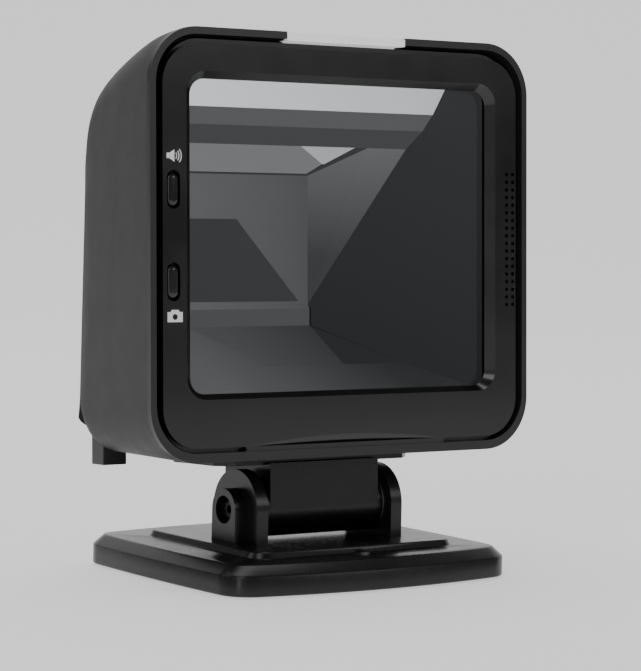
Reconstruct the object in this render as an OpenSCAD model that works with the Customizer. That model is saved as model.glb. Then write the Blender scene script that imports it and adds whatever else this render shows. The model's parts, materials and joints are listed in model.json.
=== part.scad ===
// Hands-free desktop presentation scanner: a square scan head on a tilting neck and a weighted base.
// Frame: origin under the middle of the base on the desk, +Z up, the scan window faces -Y.
// The head is drawn upright and then leaned back about the pivot, as it is set in use.

/* [Head] */
// Width of the scan head across its rim
head_w = 116; // [112:0.5:120]
// Height of the scan head, bottom to top of the rim
head_h = 105.6; // [104:0.2:108]
// Corner radius of the rim, seen from the front
head_corner_r = 13.5; // [12:0.5:15]
// Height of the head's flat bottom over the desk when upright
head_bottom_z = 31; // [30.8:0.1:33]
// Distance from the tilt axis forward to the rim's front plane
face_reach = 17.5; // [16.5:0.1:18.5]
// Wall thickness of the head mouldings
wall = 2; // [1.8:0.1:2.2]
// Backward lean of the head at rest, in degrees
head_lean = 2.35; // [0:0.05:4]

/* [Front] */
// Width of the rim's front band
rim_band = 1.65; // [1.4:0.05:1.8]
// Depth of the rim that shows beside the rear housing
rim_depth = 1.5; // [1.2:0.1:1.8]
// Width of the glossy front panel
panel_w = 108.8; // [107:0.2:109.4]
// Width of the scan window's clear opening
window_w = 91; // [88:0.5:92]
// Height of the scan window's clear opening
window_h = 76.6; // [74:0.2:78]
// Distance of the buttons and their switches from the middle
button_x = 51.35; // [51.2:0.05:51.6]
// Height of the volume button over the head's bottom
volume_v = 66.2; // [64:0.2:68]
// Height of the trigger button over the head's bottom
trigger_v = 44; // [42:0.2:46]
// Inward travel of the buttons
button_travel = 0.5; // [0.3:0.05:0.6]

/* [Pivot] */
// Tilt axis, distance behind the middle of the base
pivot_y = -4.7; // [-6:0.1:-4]
// Tilt axis, height over the desk
pivot_z = 17.6; // [17.4:0.1:18.4]
// Radius of the steel axle
axle_r = 3; // [2.8:0.05:3.2]
// Radial running clearance of the barrel on the axle
axle_gap = 0.05; // [0.02:0.01:0.09]
// Radius of the neck's barrel
barrel_r = 7.4; // [7:0.1:7.6]
// Distance from the middle to the inner face of a base ear
ear_inner_x = 19.1; // [18.5:0.1:19.5]

/* [Base] */
// Width of the base at its foot
base_w = 87.4; // [84:0.2:90]
// Depth of the base at its foot
base_d = 80; // [78:0.5:82]
// Height of the base's flat top
base_top_z = 8; // [7.8:0.1:8.2]
// Height of the raised step under the ears, over the flat top
step_h = 1.6; // [1.4:0.1:1.6]
// Spacing of the two desk screw holes, front to rear
desk_hole_spacing = 60; // [58:0.5:62]
// Radius of a desk screw hole
desk_hole_r = 2.1; // [2:0.05:2.3]

/* [Hidden] */
$fn = 48;
hull_fn = 32;
tiny = 0.01;
foot_h = 0.5;
face_y = pivot_y - face_reach;
seam_y = face_y + rim_depth;
panel_y = face_y + 0.2;
web_y = face_y + 2.2;
glass_y = face_y + 2.6;
web_back_y = face_y + 3.8;
lip_back_y = face_y + 6;
light_bar_y = face_y + 4.4;
panel_bottom_v = 3.5;
panel_top_v = head_h - 4.2;
window_v = 16.6 + window_h / 2;
button_l = 8.2;
button_w = 3.2;

// Rear housing, from the seam to the back: distance behind the face, drop of the top edge
crown = [[0, 0], [10.5, 0.8], [20.5, 2.9], [30.5, 5.6], [38.5, 8.4], [43.5, 11.2], [47, 15.6], [49, 23]];
side_taper = 0.234;
back_slope = 0.0935;
back_foot_y = face_y + 57;
back_round_r = 9;
corner_r_back = 9;
function half_w(y) = head_w / 2 - side_taper * (y - seam_y);
function back_y(z) = back_foot_y - back_slope * (z - head_bottom_z - back_round_r);
function back_z(y) = head_bottom_z + back_round_r + (back_foot_y - y) / back_slope;
function round_z(y) = head_bottom_z + back_round_r
    - sqrt(max(0, pow(back_round_r, 2) - pow(max(0, y - back_foot_y + back_round_r), 2)));

// Light baffle behind the window: half widths, and heights over the head's bottom
baffle_back_y = 22;
baffle_back_left = 20;
baffle_back_right = 15.5;
baffle_t = 1.2;
baffle_side = window_w / 2 + 0.5;
header_y = [-10, -1];
header_v = [94, 78.6];
ceiling_v = 72.5;
floor_v = [16, 30];

imager_x = -2.5;
imager_v = 49;
imager_y = baffle_back_y + 0.1;
speaker_v = [36.5, 72.8];
grille_rows = 18;
grille_pitch = 2;
grille_x = [51.4, 53.4];
main_board_z = head_bottom_z + 6.4;
board_t = 1.6;
socket_y = 21;

// ---- helpers ----

// Puts a piece of the upright head where the leaned head has it
module at_head() {
    translate([0, pivot_y, pivot_z]) rotate([-head_lean, 0, 0]) translate([0, -pivot_y, -pivot_z]) children();
}

module rounded_rect(w, h, r) {
    square([w, h - 2 * r], center = true);
    square([w - 2 * r, h], center = true);
    for (x = [-1, 1], y = [-1, 1])
        translate([x * (w / 2 - r), y * (h / 2 - r)]) circle(r);
}

// A plate parallel to the face, between depths y0 and y1 and heights v0 and v1 over the head's bottom
module face_plate(y0, y1, w, v0, v1, r) {
    translate([0, y1, head_bottom_z + (v0 + v1) / 2]) rotate([90, 0, 0])
        linear_extrude(y1 - y0) rounded_rect(w, v1 - v0, r);
}

// A box given by its lowest and highest corners
module span(low, high) {
    translate(low) cube(high - low);
}

// A slot with round ends, long way up, parallel to the face
module face_slot(x, v, y0, y1, w, l) {
    translate([x, y1, head_bottom_z + v]) rotate([90, 0, 0]) linear_extrude(y1 - y0) {
        square([w, l - w], center = true);
        for (s = [-1, 1]) translate([0, s * (l - w) / 2]) circle(w / 2);
    }
}

// A round bar along the head's depth
module face_bar(x, v, y0, y1, r) {
    translate([x, y1, head_bottom_z + v]) rotate([90, 0, 0]) cylinder(h = y1 - y0, r = r);
}

// A round bar along X
module cross_bar(x0, x1, r) {
    translate([x0, pivot_y, pivot_z]) rotate([0, 90, 0]) cylinder(h = x1 - x0, r = r);
}

// A pan-head screw pointing up from z = 0
module pan_screw(head_r, head_t, shank_r, length) {
    cylinder(h = head_t, r = head_r);
    translate([0, 0, head_t - tiny]) cylinder(h = length + tiny, r = shank_r);
}

// Closes a piece to the plan of the tapering baffle, grown by g
module baffle_plan(g) {
    front = web_back_y - (g == 0 ? tiny : 0);
    back = baffle_back_y + g;
    translate([0, 0, head_bottom_z]) linear_extrude(head_h)
        polygon([[-baffle_side - g, front], [baffle_side + g, front],
            [baffle_back_right + g, back], [-baffle_back_left - g, back]]);
}

// Side profile of the space in the baffle, grown by g
module baffle_profile(g) {
    rotate([90, 0, 90]) translate([0, head_bottom_z, -head_w / 2]) linear_extrude(head_w)
        polygon([[web_back_y - tiny, floor_v[0] - g], [web_back_y - tiny, header_v[0] + 1 + g],
            [header_y[0] + g, header_v[0] + 1 + g], [header_y[1] + g, header_v[1] + g],
            [baffle_back_y + g, ceiling_v + g], [baffle_back_y + g, floor_v[1] - g]]);
}

module baffle_space(g) {
    intersection() {
        baffle_plan(g);
        baffle_profile(g);
    }
}

// Places a slab on the sloping header, x along it, its face at the given depth behind the surface
module on_header(along, behind) {
    run = header_y[1] - header_y[0];
    drop = header_v[0] - header_v[1];
    slope = atan2(drop, run);
    translate([0, header_y[0], head_bottom_z + header_v[0]]) rotate([-slope, 0, 0])
        translate([0, along, behind]) children();
}

// ---- base ----

// Outline of the base: four shallow arcs with round corners, drawn in by g
module base_outline(g) {
    bow_front = 5;
    bow_side = 1.5;
    corner = 8.5;
    r_front = (pow(base_w / 2, 2) + pow(bow_front, 2)) / (2 * bow_front);
    r_side = (pow(base_d / 2, 2) + pow(bow_side, 2)) / (2 * bow_side);
    offset(r = corner - g, $fn = hull_fn) offset(delta = -corner) intersection() {
        translate([0, r_front - base_d / 2]) circle(r_front, $fn = 200);
        translate([0, base_d / 2 - r_front]) circle(r_front, $fn = 200);
        translate([r_side - base_w / 2, 0]) circle(r_side, $fn = 400);
        translate([base_w / 2 - r_side, 0]) circle(r_side, $fn = 400);
    }
}

module base_slab(z0, z1, g) {
    translate([0, 0, z0]) linear_extrude(z1 - z0) base_outline(g);
}

base_screw_at = [[-26, -30], [26, -30], [-26, 30], [26, 30]];
rubber_foot_at = [[-34, -24], [34, -24], [-34, 24], [34, 24]];
base_inner_z = 6;
cover_top_z = 2.1;
step_z = base_top_z + step_h;
ear_t = 3.4;
ear_r = 10;
boss_r = 5.3;
boss_out_x = ear_inner_x + ear_t + 3.5;
boss_floor_x = boss_out_x - 2.4;
axle_end_x = boss_floor_x - 0.6;

// One ear with its boss, on the +X side
module ear() {
    foot_z = base_top_z - 0.5;
    rotate([90, 0, 90]) translate([pivot_y, 0, ear_inner_x]) {
        linear_extrude(ear_t) {
            translate([0, pivot_z]) circle(ear_r);
            translate([-ear_r, foot_z]) square([2 * ear_r, pivot_z - foot_z]);
        }
        linear_extrude(boss_out_x - ear_inner_x) {
            translate([0, pivot_z]) circle(boss_r);
            translate([-boss_r, foot_z]) square([2 * boss_r, pivot_z - foot_z]);
        }
    }
}

module base_cover() {
    wall_top_z = 5.5;
    chamfer = 2.8;
    color("#26272a") difference() {
        union() {
            difference() {
                hull() {
                    base_slab(foot_h, wall_top_z, 0);
                    base_slab(base_top_z - tiny, base_top_z, chamfer);
                }
                base_slab(0, base_inner_z, 3);
            }
            hull() {
                translate([0, -1, base_top_z - 0.5]) linear_extrude(1)
                    rounded_rect(62.6, 53.6, 5, $fn = hull_fn);
                translate([0, -1, step_z - tiny]) linear_extrude(tiny)
                    rounded_rect(61, 52, 4.2, $fn = hull_fn);
            }
            for (s = [0, 1]) mirror([s, 0, 0]) ear();
            for (p = base_screw_at) translate([p[0], p[1], cover_top_z])
                cylinder(h = base_inner_z - cover_top_z + 0.5, r = 3.4);
            for (s = [-1, 1]) translate([0, s * desk_hole_spacing / 2, foot_h])
                cylinder(h = base_inner_z, r = 4.2);
        }
        cross_bar(-boss_out_x - 1, boss_out_x + 1, axle_r + tiny);
        for (s = [0, 1]) mirror([s, 0, 0]) cross_bar(boss_floor_x, boss_out_x + 1, 3.55);
        for (p = base_screw_at) translate([p[0], p[1], 1]) cylinder(h = 5.6, r = 1.25);
        for (s = [-1, 1]) translate([0, s * desk_hole_spacing / 2, 0]) {
            cylinder(h = base_top_z + 1, r = desk_hole_r);
            translate([0, 0, base_top_z - 0.8]) cylinder(h = 0.8 + tiny, r1 = desk_hole_r, r2 = 2.95);
        }
    }
}

module base_piece_holes(boss_hole_r, z0, z1) {
    for (p = base_screw_at) translate([p[0], p[1], z0]) cylinder(h = z1 - z0, r = boss_hole_r);
    for (s = [-1, 1]) translate([0, s * desk_hole_spacing / 2, z0]) cylinder(h = z1 - z0, r = 4.4);
}

module ballast_plate() {
    color("#8b8f94") difference() {
        base_slab(cover_top_z + 0.1, base_inner_z - 0.2, 4);
        base_piece_holes(3.7, 0, base_inner_z + 1);
    }
}

module bottom_cover() {
    color("#1d1e20") difference() {
        base_slab(foot_h, cover_top_z, 3.15);
        base_piece_holes(1.5, 0, cover_top_z + 1);
        for (p = base_screw_at) translate([p[0], p[1], 0]) cylinder(h = 1.5, r = 2.9);
        for (p = rubber_foot_at) translate([p[0], p[1], 0]) cylinder(h = 1.2, r = 5.5);
    }
}

module rubber_feet() {
    color("#141414") for (p = rubber_foot_at) translate([p[0], p[1], 0]) cylinder(h = 1.2, r = 5.4);
}

module base_screws() {
    color("silver") for (p = base_screw_at) translate([p[0], p[1], 0.6]) difference() {
        pan_screw(2.7, 0.9, 1.25, 3.8);
        translate([0, 0, -tiny]) cylinder(h = 0.6, r = 0.9, $fn = 6);
    }
}

// ---- pivot ----

module pivot_axle() {
    color("#9a9da1") difference() {
        cross_bar(-axle_end_x, axle_end_x, axle_r);
        for (s = [0, 1]) mirror([s, 0, 0]) cross_bar(axle_end_x - 7, axle_end_x + 1, 2);
    }
}

module pivot_screws() {
    color("#3a3b3d") for (s = [0, 1]) mirror([s, 0, 0]) difference() {
        cross_bar(axle_end_x - 6, axle_end_x + 1.3, 2);
        translate([axle_end_x - 0.6, pivot_y, pivot_z]) rotate([0, 90, 0])
            cylinder(h = 2.5, d = 2.3, $fn = 6);
    }
}

barrel_half = ear_inner_x - 0.7;

module friction_washers() {
    color("#d8d4c8") for (s = [0, 1]) mirror([s, 0, 0]) difference() {
        cross_bar(barrel_half + 0.1, ear_inner_x, 6.8);
        cross_bar(barrel_half, ear_inner_x + 1, axle_r + 0.1);
    }
}

// ---- neck ----

flange_t = 2.2;
flange_z = head_bottom_z - flange_t;
flange_y = [-10.3, 12.5];
neck_half_w = 16.75;
neck_screw_at = [[-25, -4.5], [25, -4.5], [-25, 8.5], [25, 8.5]];

module neck() {
    color("#1b1c1e") at_head() difference() {
        union() {
            cross_bar(-barrel_half, barrel_half, barrel_r);
            rotate([90, 0, 90]) translate([0, 0, -neck_half_w]) linear_extrude(2 * neck_half_w)
                polygon([[pivot_y - barrel_r, pivot_z], [pivot_y - barrel_r, flange_z + 0.5],
                    [8.6, flange_z + 0.5], [8.6, flange_z - 3],
                        [pivot_y + barrel_r * 0.82, pivot_z - barrel_r * 0.5],
                    [pivot_y, pivot_z - 2]]);
            translate([0, 0, flange_z]) linear_extrude(flange_t)
                polygon([[-30, flange_y[1]], [30, flange_y[1]], [30, flange_y[0] + 4],
                    [26, flange_y[0]], [-26, flange_y[0]], [-30, flange_y[0] + 4]]);
        }
        cross_bar(-barrel_half - 1, barrel_half + 1, axle_r + axle_gap);
        for (p = neck_screw_at) translate([p[0], p[1], flange_z - 1]) {
            cylinder(h = 5, r = 1.6);
            cylinder(h = 2, r = 2.9);
        }
    }
}

module neck_screws() {
    color("silver") at_head() for (p = neck_screw_at) translate([p[0], p[1], flange_z + 0.1]) difference() {
        pan_screw(2.7, 0.9, 1.3, 5.8);
        translate([0, 0, -tiny]) cylinder(h = 0.5, r = 0.9, $fn = 6);
    }
}

// ---- head shells ----

// Height pairs of the rear housing at depth y, from round_z up to the crown or the sloping back
crown_stations = [for (c = crown) [face_y + rim_depth + c[0], head_bottom_z, head_bottom_z + head_h - c[1]]];
back_stations = [for (y = [crown_stations[7][0] + 1.4 : 1.5 : back_foot_y - 0.4]) [y, round_z(y), back_z(y)]];
last_y = back_foot_y - 0.1;
stations = concat(crown_stations, back_stations, [[last_y, round_z(last_y), back_z(last_y) + 1]]);

// Solid inside the rear housing's outer skin, drawn in by g
module housing_solid(g) {
    hull() for (s = stations) {
        low = max(s[1], round_z(s[0])) + g;
        high = s[2] - g;
        share = (s[0] - seam_y) / 55;
        r = min(head_corner_r - (head_corner_r - corner_r_back) * share, (high - low) / 2 + g - 0.1) - g;
        w = 2 * half_w(s[0]) - 2 * g;
        translate([0, s[0] + tiny - g, (low + high) / 2]) rotate([90, 0, 0]) linear_extrude(tiny)
            rounded_rect(w, high - low, max(r, 1), $fn = hull_fn);
    }
}

// Outline of the rear cover, parallel to the face
cover_v = [15, 86.5];
module cover_plate(y0, y1, g) {
    face_plate(y0, y1, 81.6 - 2 * g, cover_v[0] + g, cover_v[1] - g, 9 - g);
}

cover_screw_at = [[-34, 22], [34, 22], [-34, 72], [34, 72]];
bezel_screw_at = [[-49.3, 9.8], [49.3, 9.8], [-49.3, 96], [49.3, 96]];
main_screw_at = [[-34, -8], [34, -8], [-34, 24], [34, 24]];

module rear_housing() {
    color("#3b3c3e") at_head() difference() {
        union() {
            difference() {
                housing_solid(0);
                housing_solid(wall);
                face_plate(seam_y - 3, seam_y + 0.1, head_w - 2 * wall, wall, head_h - wall,
                    head_corner_r - wall);
                cover_plate(20, 40, 0);
            }
            intersection() {
                housing_solid(0.5);
                union() {
                    for (p = cover_screw_at)
                        face_bar(p[0], p[1], 18, back_y(head_bottom_z + p[1]) - 3.6, 3.4);
                    for (p = cover_screw_at) span([min(p[0], sign(p[0]) * 60), 18, head_bottom_z + p[1] - 1],
                        [max(p[0], sign(p[0]) * 60), back_y(head_bottom_z + p[1]) - 3.6,
                            head_bottom_z + p[1] + 1]);
                    for (p = bezel_screw_at) face_bar(p[0], p[1], lip_back_y + 0.1, lip_back_y + 11, 3.2);
                    for (p = bezel_screw_at)
                        span([min(p[0], sign(p[0]) * 60), lip_back_y + 0.1, head_bottom_z + p[1] - 1],
                        [max(p[0], sign(p[0]) * 60), lip_back_y + 11, head_bottom_z + p[1] + 1]);
                    for (p = neck_screw_at) translate([p[0], p[1], head_bottom_z]) cylinder(h = 5.6, r = 3.2);
                    for (p = main_screw_at) translate([p[0], p[1], head_bottom_z]) cylinder(h = 6.4, r = 2.8);
                }
            }
        }
        for (p = cover_screw_at) face_bar(p[0], p[1], 19, 40, 1.1);
        for (p = bezel_screw_at) face_bar(p[0], p[1], lip_back_y - 1, lip_back_y + 9, 1.1);
        for (p = neck_screw_at) translate([p[0], p[1], head_bottom_z - 1]) cylinder(h = 6, r = 1.3);
        for (p = main_screw_at) translate([p[0], p[1], head_bottom_z + 2]) cylinder(h = 6, r = 1.1);
        span([-8, socket_y - 6.8, head_bottom_z - 1], [8, socket_y + 6.8, head_bottom_z + 4]);
        light_bar_notch();
    }
}

module rear_cover() {
    hump = [[0, 0], [38, 1.2], [58, 2.2], [68, 2.4], [73, 1.4], [77, -1.2]];
    base_v = 10;
    outer = [for (p = hump) [back_y(head_bottom_z + base_v + p[0]) + p[1], base_v + p[0]]];
    inner = [for (v = [base_v + 77, base_v]) [back_y(head_bottom_z + v) - 3.2, v]];
    color("#37383a") at_head() difference() {
        intersection() {
            cover_plate(15, 40, 0.12);
            rotate([90, 0, 90]) translate([0, head_bottom_z, -head_w / 2]) linear_extrude(head_w)
                polygon(concat(outer, inner));
        }
        for (p = cover_screw_at) {
            face_bar(p[0], p[1], 15, 40, 1.4);
            face_bar(p[0], p[1], back_y(head_bottom_z + p[1]) - 0.5, 40, 2.7);
        }
    }
}

module cover_screws() {
    color("#2c2d2f") at_head() for (p = cover_screw_at)
        translate([p[0], back_y(head_bottom_z + p[1]) + 0.4, head_bottom_z + p[1]]) rotate([90, 0, 0])
            difference() {
            pan_screw(2.4, 0.9, 1.1, 6);
            translate([0, 0, -tiny]) cylinder(h = 0.5, r = 0.8, $fn = 6);
        }
}

module rear_feet() {
    color("#232425") at_head() difference() {
        for (s = [0, 1]) mirror([s, 0, 0])
            span([34, 29, head_bottom_z - 3.6], [41, 35, head_bottom_z + 5]);
        housing_solid(0);
    }
}

// ---- front ----

module bezel_frame() {
    tab_x = 31;
    lip_w = 2 * half_w(lip_back_y + wall) - 2 * wall - 0.4;
    color("#2e2f31") at_head() difference() {
        union() {
            difference() {
                union() {
                    face_plate(face_y, seam_y, head_w, 0, head_h, head_corner_r);
                    face_plate(face_y + 0.5, lip_back_y, lip_w, wall + 0.1, head_h - wall - 0.7,
                        head_corner_r - wall);
                }
                face_plate(face_y - 1, web_y, head_w - 2 * rim_band, 2.3, head_h - 1.8,
                    head_corner_r - rim_band);
                face_plate(web_back_y, lip_back_y + 1, lip_w - 2.4, wall + 1.3, head_h - wall - 1.9,
                    head_corner_r - wall - 1.2);
            }
            difference() {
                span([-tab_x, face_y + 0.25, head_bottom_z + 2],
                    [tab_x, web_y, head_bottom_z + panel_bottom_v]);
                for (s = [-1, 1]) face_bar(s * tab_x, 2.9, face_y - 1, web_y + 1, 0.6);
            }
        }
        face_plate(web_y - 1, web_back_y + 1, window_w + 8, window_v - window_h / 2 - 3.6,
            window_v + window_h / 2 + 3.6, 6);
        light_bar_notch();
        for (v = [volume_v, trigger_v]) face_slot(-button_x, v, web_y - 1, lip_back_y, 5.4, 11.2);
        face_slot(mean_grille_x, grille_mid_v, web_y - 1, lip_back_y, 4.2, 37);
        for (p = bezel_screw_at) {
            face_bar(p[0], p[1], web_y - 1, lip_back_y + 1, 1.3);
            face_bar(p[0], p[1], web_y - 1, web_y + 0.5, 2.6);
        }
    }
}

mean_grille_x = (grille_x[0] + grille_x[1]) / 2;
grille_mid_v = (speaker_v[0] + speaker_v[1]) / 2;

module bezel_screws() {
    color("silver") at_head() for (p = bezel_screw_at)
        translate([p[0], web_y + 0.05, head_bottom_z + p[1]]) rotate([-90, 0, 0]) difference() {
            pan_screw(2.3, 0.45, 1.1, 11);
            translate([0, 0, -tiny]) cylinder(h = 0.3, r = 0.8, $fn = 6);
        }
}

module front_panel() {
    chin_drop = 2.3;
    chin_half = 30;
    chin_r = (pow(chin_half, 2) + pow(chin_drop, 2)) / (2 * chin_drop);
    bevel = 2.1;
    color("#0c0d0f") at_head() difference() {
        face_plate(panel_y, web_y, panel_w, panel_bottom_v, panel_top_v, 9.8);
        hull() {
            face_plate(panel_y - tiny, panel_y, window_w + 2 * bevel, window_v - window_h / 2 - 1.3,
                window_v + window_h / 2 + 1.8, 5.5, $fn = hull_fn);
            face_plate(web_y, web_y + tiny, window_w, window_v - window_h / 2, window_v + window_h / 2, 4,
                $fn = hull_fn);
        }
        translate([0, panel_y - tiny, head_bottom_z + panel_bottom_v + chin_drop - chin_r])
            rotate([-90, 0, 0])
            cylinder(h = 1.2, r1 = chin_r, r2 = chin_r - 2.4, $fn = 200);
        for (v = [volume_v, trigger_v]) face_slot(-button_x, v, face_y - 1, web_y + 1, 3.7, 9.4);
        for (x = grille_x, i = [0 : grille_rows - 1])
            face_bar(x, grille_mid_v + (i - (grille_rows - 1) / 2) * grille_pitch, face_y - 1, web_y + 1,
                0.5, $fn = 16);
    }
}

module window_gasket() {
    color("#101010") at_head() difference() {
        face_plate(web_y, glass_y, window_w + 6, window_v - window_h / 2 - 3, window_v + window_h / 2 + 3, 6);
        face_plate(web_y - 1, glass_y + 1, window_w + 0.6, window_v - window_h / 2 - 0.3,
            window_v + window_h / 2 + 0.3, 4);
    }
}

module window_glass() {
    color([0.55, 0.6, 0.62, 0.35]) at_head()
        face_plate(glass_y, web_back_y, window_w + 6.6, window_v - window_h / 2 - 3.3,
            window_v + window_h / 2 + 3.3, 6);
}

// The space that the light bar takes out of the rim and the housing's top edge
module light_bar_notch() {
    span([-18.3, face_y - 1, head_bottom_z + head_h - 2.25],
        [18.3, light_bar_y + 0.05, head_bottom_z + head_h + 1]);
    span([-17.2, face_y + 3, head_bottom_z + head_h - 4.2],
        [17.2, lip_back_y + 1, head_bottom_z + head_h - 2]);
}

module light_bar() {
    top_z = head_bottom_z + head_h;
    color("#d8dadb") at_head() {
        span([-18.2, face_y + 0.05, top_z - 2.2], [18.2, light_bar_y, top_z - 0.2]);
        span([-17, face_y + 3.1, top_z - 4.1], [17, light_bar_y, top_z - 2.1]);
    }
}

module status_led_board() {
    top_z = head_bottom_z + head_h;
    color("#1f5a3a") at_head() span([-16, face_y + 5.7, top_z - 9.4], [16, face_y + 6.7, top_z - 3]);
}

module status_leds() {
    top_z = head_bottom_z + head_h;
    color("#f2f0e0") at_head() for (x = [-11, 0, 11])
        span([x - 1.4, light_bar_y + 0.1, top_z - 4.1], [x + 1.4, face_y + 5.7, top_z - 3]);
}

// ---- optics ----

module light_baffle() {
    color("#4a4c4f") at_head() difference() {
        baffle_space(baffle_t);
        baffle_space(0);
        // the slot that the diffuser fills
        on_header(-tiny, -2.5) span([-41, 0.6, 0], [41, 8, 6]);
        // the camera's hole through the back
        span([imager_x - 10, baffle_back_y - 3, head_bottom_z + imager_v - 7.2],
            [imager_x + 10, baffle_back_y + 3, head_bottom_z + imager_v + 7.2]);
    }
}

module diffuser_panel() {
    color("#e8eaec") at_head() on_header(0, 0) span([-40, 0.8, 0.1], [40, 7.8, 1.7]);
}

module illumination_board() {
    color("#1f5a3a") at_head() on_header(0, 0) span([-38, 0, 7], [38, 12, 8.2]);
}

module illumination_leds() {
    color("#f4f1dc") at_head() on_header(0, 0) for (i = [0 : 7])
        span([-33.25 + i * 9 - 1.4, 2.9, 5.8], [-33.25 + i * 9 + 1.4, 5.7, 7]);
}

module imager_housing() {
    low = head_bottom_z + imager_v - 7;
    color("#161719") at_head() difference() {
        span([imager_x - 9.8, imager_y, low], [imager_x + 9.8, 25.6, low + 14]);
        face_bar(imager_x + 3, imager_v, imager_y - 1, 24.5, 4.1);
        face_bar(imager_x - 5, imager_v, imager_y - 1, 24.1, 2.1);
    }
}

module imager_lens() {
    color("#20262c") at_head() difference() {
        face_bar(imager_x + 3, imager_v, imager_y + 0.3, 24.5, 4);
        face_bar(imager_x + 3, imager_v, imager_y - 1, imager_y + 0.9, 2.6);
    }
}

module aimer_lens() {
    color("#3c4a44") at_head() face_bar(imager_x - 5, imager_v, imager_y + 0.3, 24.1, 2);
}

module image_sensor_board() {
    low = head_bottom_z + imager_v - 9;
    color("#1f5a3a") at_head() span([imager_x - 11, 25.7, low], [imager_x + 11, 26.7, low + 18]);
}

// ---- electronics ----

module main_board() {
    color("#1f5a3a") at_head() difference() {
        span([-39, -13, main_board_z], [39, 28, main_board_z + board_t]);
        for (p = main_screw_at) translate([p[0], p[1], main_board_z - 1]) cylinder(h = 4, r = 1.4);
        span([-8.2, socket_y - 7, main_board_z - 1], [8.2, 29, main_board_z + 3]);
    }
}

module main_board_parts() {
    top = main_board_z + board_t;
    color("#202124") at_head() {
        span([-9, -9, top], [7, 7, top + 1.6]);
        span([13, -6, top], [24, 3, top + 1.2]);
        span([-25, -8, top], [-15, -2, top + 2.4]);
        span([14, 9, top], [20, 15, top + 3]);
        span([-24, 8, top], [-14, 12, top + 3.4]);
    }
}

module board_screws() {
    color("silver") at_head() for (p = main_screw_at)
        translate([p[0], p[1], main_board_z + board_t + 1.1]) mirror([0, 0, 1]) difference() {
            pan_screw(2.3, 1, 1.1, 5);
            translate([0, 0, -tiny]) cylinder(h = 0.5, r = 0.8, $fn = 6);
        }
}

module cable_socket() {
    low = head_bottom_z + 0.4;
    color("#2a2b2d") at_head() difference() {
        span([-7.8, socket_y - 6.6, low], [7.8, socket_y + 6.4, low + 15]);
        span([-6.1, socket_y - 3.9, low - 1], [6.1, socket_y + 4.1, low + 12.5]);
        span([-2.2, socket_y - 5.4, low - 1], [2.2, socket_y, low + 9]);
    }
}

module socket_contacts() {
    contacts = 10;
    pitch = 1.02;
    low = head_bottom_z + 4;
    color("#c9a227") at_head() for (i = [0 : contacts - 1])
        span([(i - 4.5) * pitch - 0.15, socket_y + 3.7, low],
            [(i - 4.5) * pitch + 0.15, socket_y + 4.1, low + 8.4]);
}

module speaker() {
    color("#17181a") at_head() difference() {
        span([48.7, web_back_y + 0.2, head_bottom_z + speaker_v[0]],
            [53.5, web_back_y + 4, head_bottom_z + speaker_v[1]]);
        face_slot(51.1, grille_mid_v, web_back_y - 1, web_back_y + 0.8, 3.6, 33);
    }
}

module button_board() {
    color("#1f5a3a") at_head()
        span([-53.4, face_y + 7.6, head_bottom_z + 34], [-48.7, face_y + 8.6, head_bottom_z + 76]);
}

module button_switches() {
    color("#c6c8ca") at_head() for (v = [volume_v, trigger_v]) {
        span([-button_x - 2.2, face_y + 5.6, head_bottom_z + v - 2.2],
            [-button_x + 2.2, face_y + 7.6, head_bottom_z + v + 2.2]);
        face_bar(-button_x, v, face_y + 5, face_y + 5.6 + tiny, 1);
    }
}

// A button: its cap in the panel, the flange that keeps it in, and the stem to its switch
module button(v) {
    stem_end = face_y + 5 - button_travel - 0.15;
    face_slot(-button_x, v, face_y + 0.1, web_y + 0.3, button_w, button_l);
    face_slot(-button_x, v, web_y + 0.15, web_y + 0.9, 4.7, 10.4);
    face_bar(-button_x, v, web_y + 0.8, stem_end, 1.2);
}

module volume_button() {
    color("#1c1d20") at_head() button(volume_v);
}

module trigger_button() {
    color("#1c1d20") at_head() button(trigger_v);
}

base_cover();
ballast_plate();
bottom_cover();
rubber_feet();
base_screws();
pivot_axle();
pivot_screws();
friction_washers();
neck();
neck_screws();
rear_housing();
rear_cover();
cover_screws();
rear_feet();
bezel_frame();
bezel_screws();
front_panel();
window_gasket();
window_glass();
light_bar();
status_led_board();
status_leds();
light_baffle();
diffuser_panel();
illumination_board();
illumination_leds();
imager_housing();
imager_lens();
aimer_lens();
image_sensor_board();
main_board();
main_board_parts();
board_screws();
cable_socket();
socket_contacts();
speaker();
button_board();
button_switches();
volume_button();
trigger_button();
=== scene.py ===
"""The desktop presentation scanner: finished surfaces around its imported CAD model."""

import json
import math

import bmesh
import bpy
from mathutils import Matrix, Vector


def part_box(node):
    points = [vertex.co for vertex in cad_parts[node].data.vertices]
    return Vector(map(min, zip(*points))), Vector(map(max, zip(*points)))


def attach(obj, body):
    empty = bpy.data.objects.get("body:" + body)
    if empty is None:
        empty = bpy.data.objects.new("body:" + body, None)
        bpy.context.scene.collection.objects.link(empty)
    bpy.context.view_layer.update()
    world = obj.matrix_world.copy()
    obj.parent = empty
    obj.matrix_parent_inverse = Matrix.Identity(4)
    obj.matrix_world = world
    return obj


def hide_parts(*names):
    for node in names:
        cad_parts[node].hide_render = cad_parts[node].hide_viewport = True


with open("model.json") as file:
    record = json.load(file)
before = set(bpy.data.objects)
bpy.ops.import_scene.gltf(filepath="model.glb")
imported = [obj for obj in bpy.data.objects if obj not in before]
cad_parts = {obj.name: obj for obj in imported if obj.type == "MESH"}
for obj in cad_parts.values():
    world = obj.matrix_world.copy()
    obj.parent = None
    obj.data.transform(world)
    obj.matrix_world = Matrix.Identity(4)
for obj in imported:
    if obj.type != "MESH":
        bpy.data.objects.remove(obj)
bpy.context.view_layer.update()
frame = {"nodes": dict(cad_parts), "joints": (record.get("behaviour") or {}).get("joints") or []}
MM = 0.001
NODES = frame["nodes"]
JOINTS = {j["name"]: j for j in frame["joints"]}


# ---- camera ----


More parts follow.
